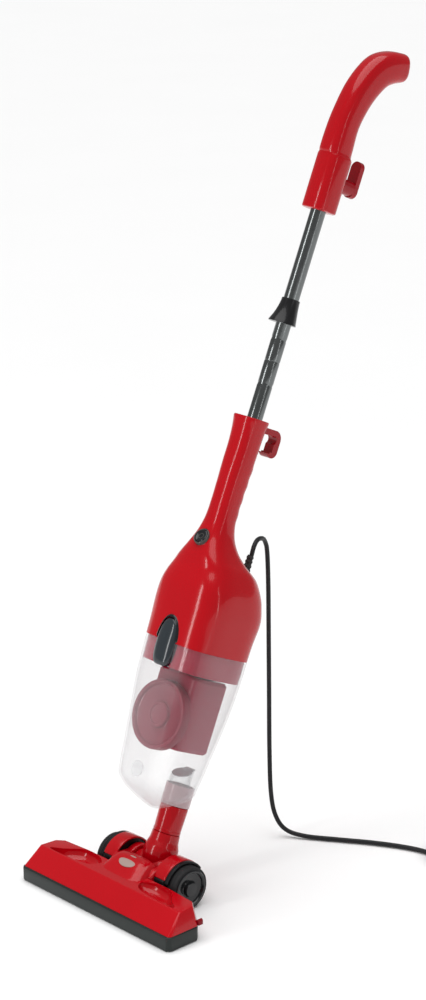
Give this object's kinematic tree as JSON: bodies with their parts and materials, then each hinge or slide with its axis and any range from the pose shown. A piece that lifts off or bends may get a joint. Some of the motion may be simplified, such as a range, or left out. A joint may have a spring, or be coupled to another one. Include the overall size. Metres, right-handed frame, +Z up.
{
  "type": "upright vacuum cleaner",
  "caption": "Corded upright stick vacuum cleaner with floor head, tilting neck, clear dust bin with filter, motor body, bright wand and curved grip.",
  "frame": {"origin": "on the floor, under the middle of the floor head's front edge", "axes": "+X to the machine's right as the user stands behind it, +Y back towards the user, +Z up"},
  "size_m": [0.449, 0.5428, 1.0099],
  "materials": {
    "red_gloss": "glossy moulded ABS",
    "red_base": "satin moulded ABS",
    "clear": "clear moulded polycarbonate",
    "filter_red": "translucent moulded plastic",
    "charcoal": "satin moulded PP",
    "black_gloss": "glossy moulded ABS",
    "grey": "satin moulded plastic",
    "light_grey": "satin moulded ABS",
    "rubber_black": "matt soft rubber",
    "tyre": "matt soft tread",
    "cord_pvc": "satin PVC sheath",
    "steel": "zinc plated",
    "chrome": "polished plating",
    "copper": "enamelled copper winding",
    "brass": "nickelled brass pins",
    "paper": "folded filter paper",
    "lint": "short nylon pile"
  },
  "bodies": {
    "head": {"head_shell": "red_gloss", "bumper": "charcoal", "sole_plate": "charcoal", "lint_strip_front": "lint", "lint_strip_rear": "lint", "sole_screws": "steel", "throat": "charcoal", "yoke": "red_gloss", "fender_left": "red_gloss", "fender_right": "red_gloss", "axle_left": "steel", "axle_right": "steel"},
    "left_wheel": {"wheel_left": "charcoal", "tyre_left": "tyre"},
    "right_wheel": {"wheel_right": "charcoal", "tyre_right": "tyre"},
    "elbow": {"neck_elbow": "red_gloss"},
    "neck": {"neck_pipe": "red_gloss"},
    "bin": {"dust_bin": "clear", "inlet_duct": "clear"},
    "flap": {"inlet_flap": "rubber_black"},
    "motor_unit": {"body_front": "red_gloss", "body_rear": "red_gloss", "body_base": "red_base", "intake_guard": "red_base", "fan_housing": "grey", "motor_can": "steel", "motor_field": "copper", "motor_mount": "rubber_black", "button_bezel": "light_grey", "power_switch": "grey", "latch_bezel": "black_gloss", "latch_spring": "steel", "strain_relief": "rubber_black", "lower_hook": "red_gloss", "wand_guide": "charcoal", "cord": "cord_pvc", "cord_coil": "cord_pvc", "cord_tail": "cord_pvc", "plug": "rubber_black", "plug_pins": "brass"},
    "rotor": {"rotor": "steel"},
    "button": {"power_button": "black_gloss"},
    "latch": {"bin_latch": "black_gloss"},
    "filter": {"filter_cage": "filter_red", "filter_disc": "filter_red", "filter_element": "paper", "filter_seal": "rubber_black"},
    "wand": {"wand_lower": "chrome", "wand_upper": "chrome", "wand_joiner": "chrome", "handle_left": "red_gloss", "handle_right": "red_gloss", "handle_screws": "steel", "hook_pivot": "steel"},
    "clip": {"tube_clip": "charcoal"},
    "swivel_hook": {"upper_hook": "red_gloss"}
  },
  "joints": [
    {"name": "left_wheel_turn", "type": "hinge", "parent": "head", "child": "left_wheel", "pos_m": [-0.0655, 0.098, 0.028], "axis": [1, 0, 0], "continuous": true},
    {"name": "right_wheel_turn", "type": "hinge", "parent": "head", "child": "right_wheel", "pos_m": [0.0655, 0.098, 0.028], "axis": [1, 0, 0], "continuous": true},
    {"name": "neck_tilt", "type": "hinge", "parent": "head", "child": "elbow", "pos_m": [0, 0.105, 0.028], "axis": [1, 0, 0], "range_deg": [-56, 24]},
    {"name": "neck_swivel", "type": "hinge", "parent": "elbow", "child": "neck", "pos_m": [0, 0.105, 0.028], "axis": [0, 0.4067, 0.9135], "range_deg": [-45, 45]},
    {"name": "bin_lift", "type": "slide", "parent": "neck", "child": "bin", "axis": [0, 0.4067, 0.9135], "range_m": [0, 0.04]},
    {"name": "flap_swing", "type": "hinge", "parent": "bin", "child": "flap", "pos_m": [0, 0.1668, 0.146], "axis": [-1, 0, 0], "range_deg": [0, 35]},
    {"name": "motor_unit_lift", "type": "slide", "parent": "bin", "child": "motor_unit", "axis": [0, 0.4067, 0.9135], "range_m": [0, 0.14]},
    {"name": "rotor_spin", "type": "hinge", "parent": "motor_unit", "child": "rotor", "pos_m": [0, 0.19811, 0.34777], "axis": [0, 0.4067, 0.9135], "continuous": true},
    {"name": "button_press", "type": "slide", "parent": "motor_unit", "child": "button", "axis": [0, 0.6561, -0.7547], "range_m": [0, 0.0025], "stiffness_N_per_m": 400, "springref_m": -0.002},
    {"name": "latch_press", "type": "slide", "parent": "motor_unit", "child": "latch", "axis": [0, 0.9135, -0.4067], "range_m": [0, 0.003], "stiffness_N_per_m": 600, "springref_m": -0.002},
    {"name": "filter_pull", "type": "slide", "parent": "motor_unit", "child": "filter", "axis": [0, -0.4067, -0.9135], "range_m": [0, 0.0045]},
    {"name": "wand_pull", "type": "slide", "parent": "motor_unit", "child": "wand", "axis": [0, 0.4067, 0.9135], "range_m": [0, 0.07]},
    {"name": "clip_slide", "type": "slide", "parent": "wand", "child": "clip", "axis": [0, 0.4067, 0.9135], "range_m": [-0.04, 0.09]},
    {"name": "hook_swivel", "type": "hinge", "parent": "wand", "child": "swivel_hook", "pos_m": [0, 0.43989, 0.84656], "axis": [0, 0.9135, -0.4067], "range_deg": [0, 180]}
  ]
}
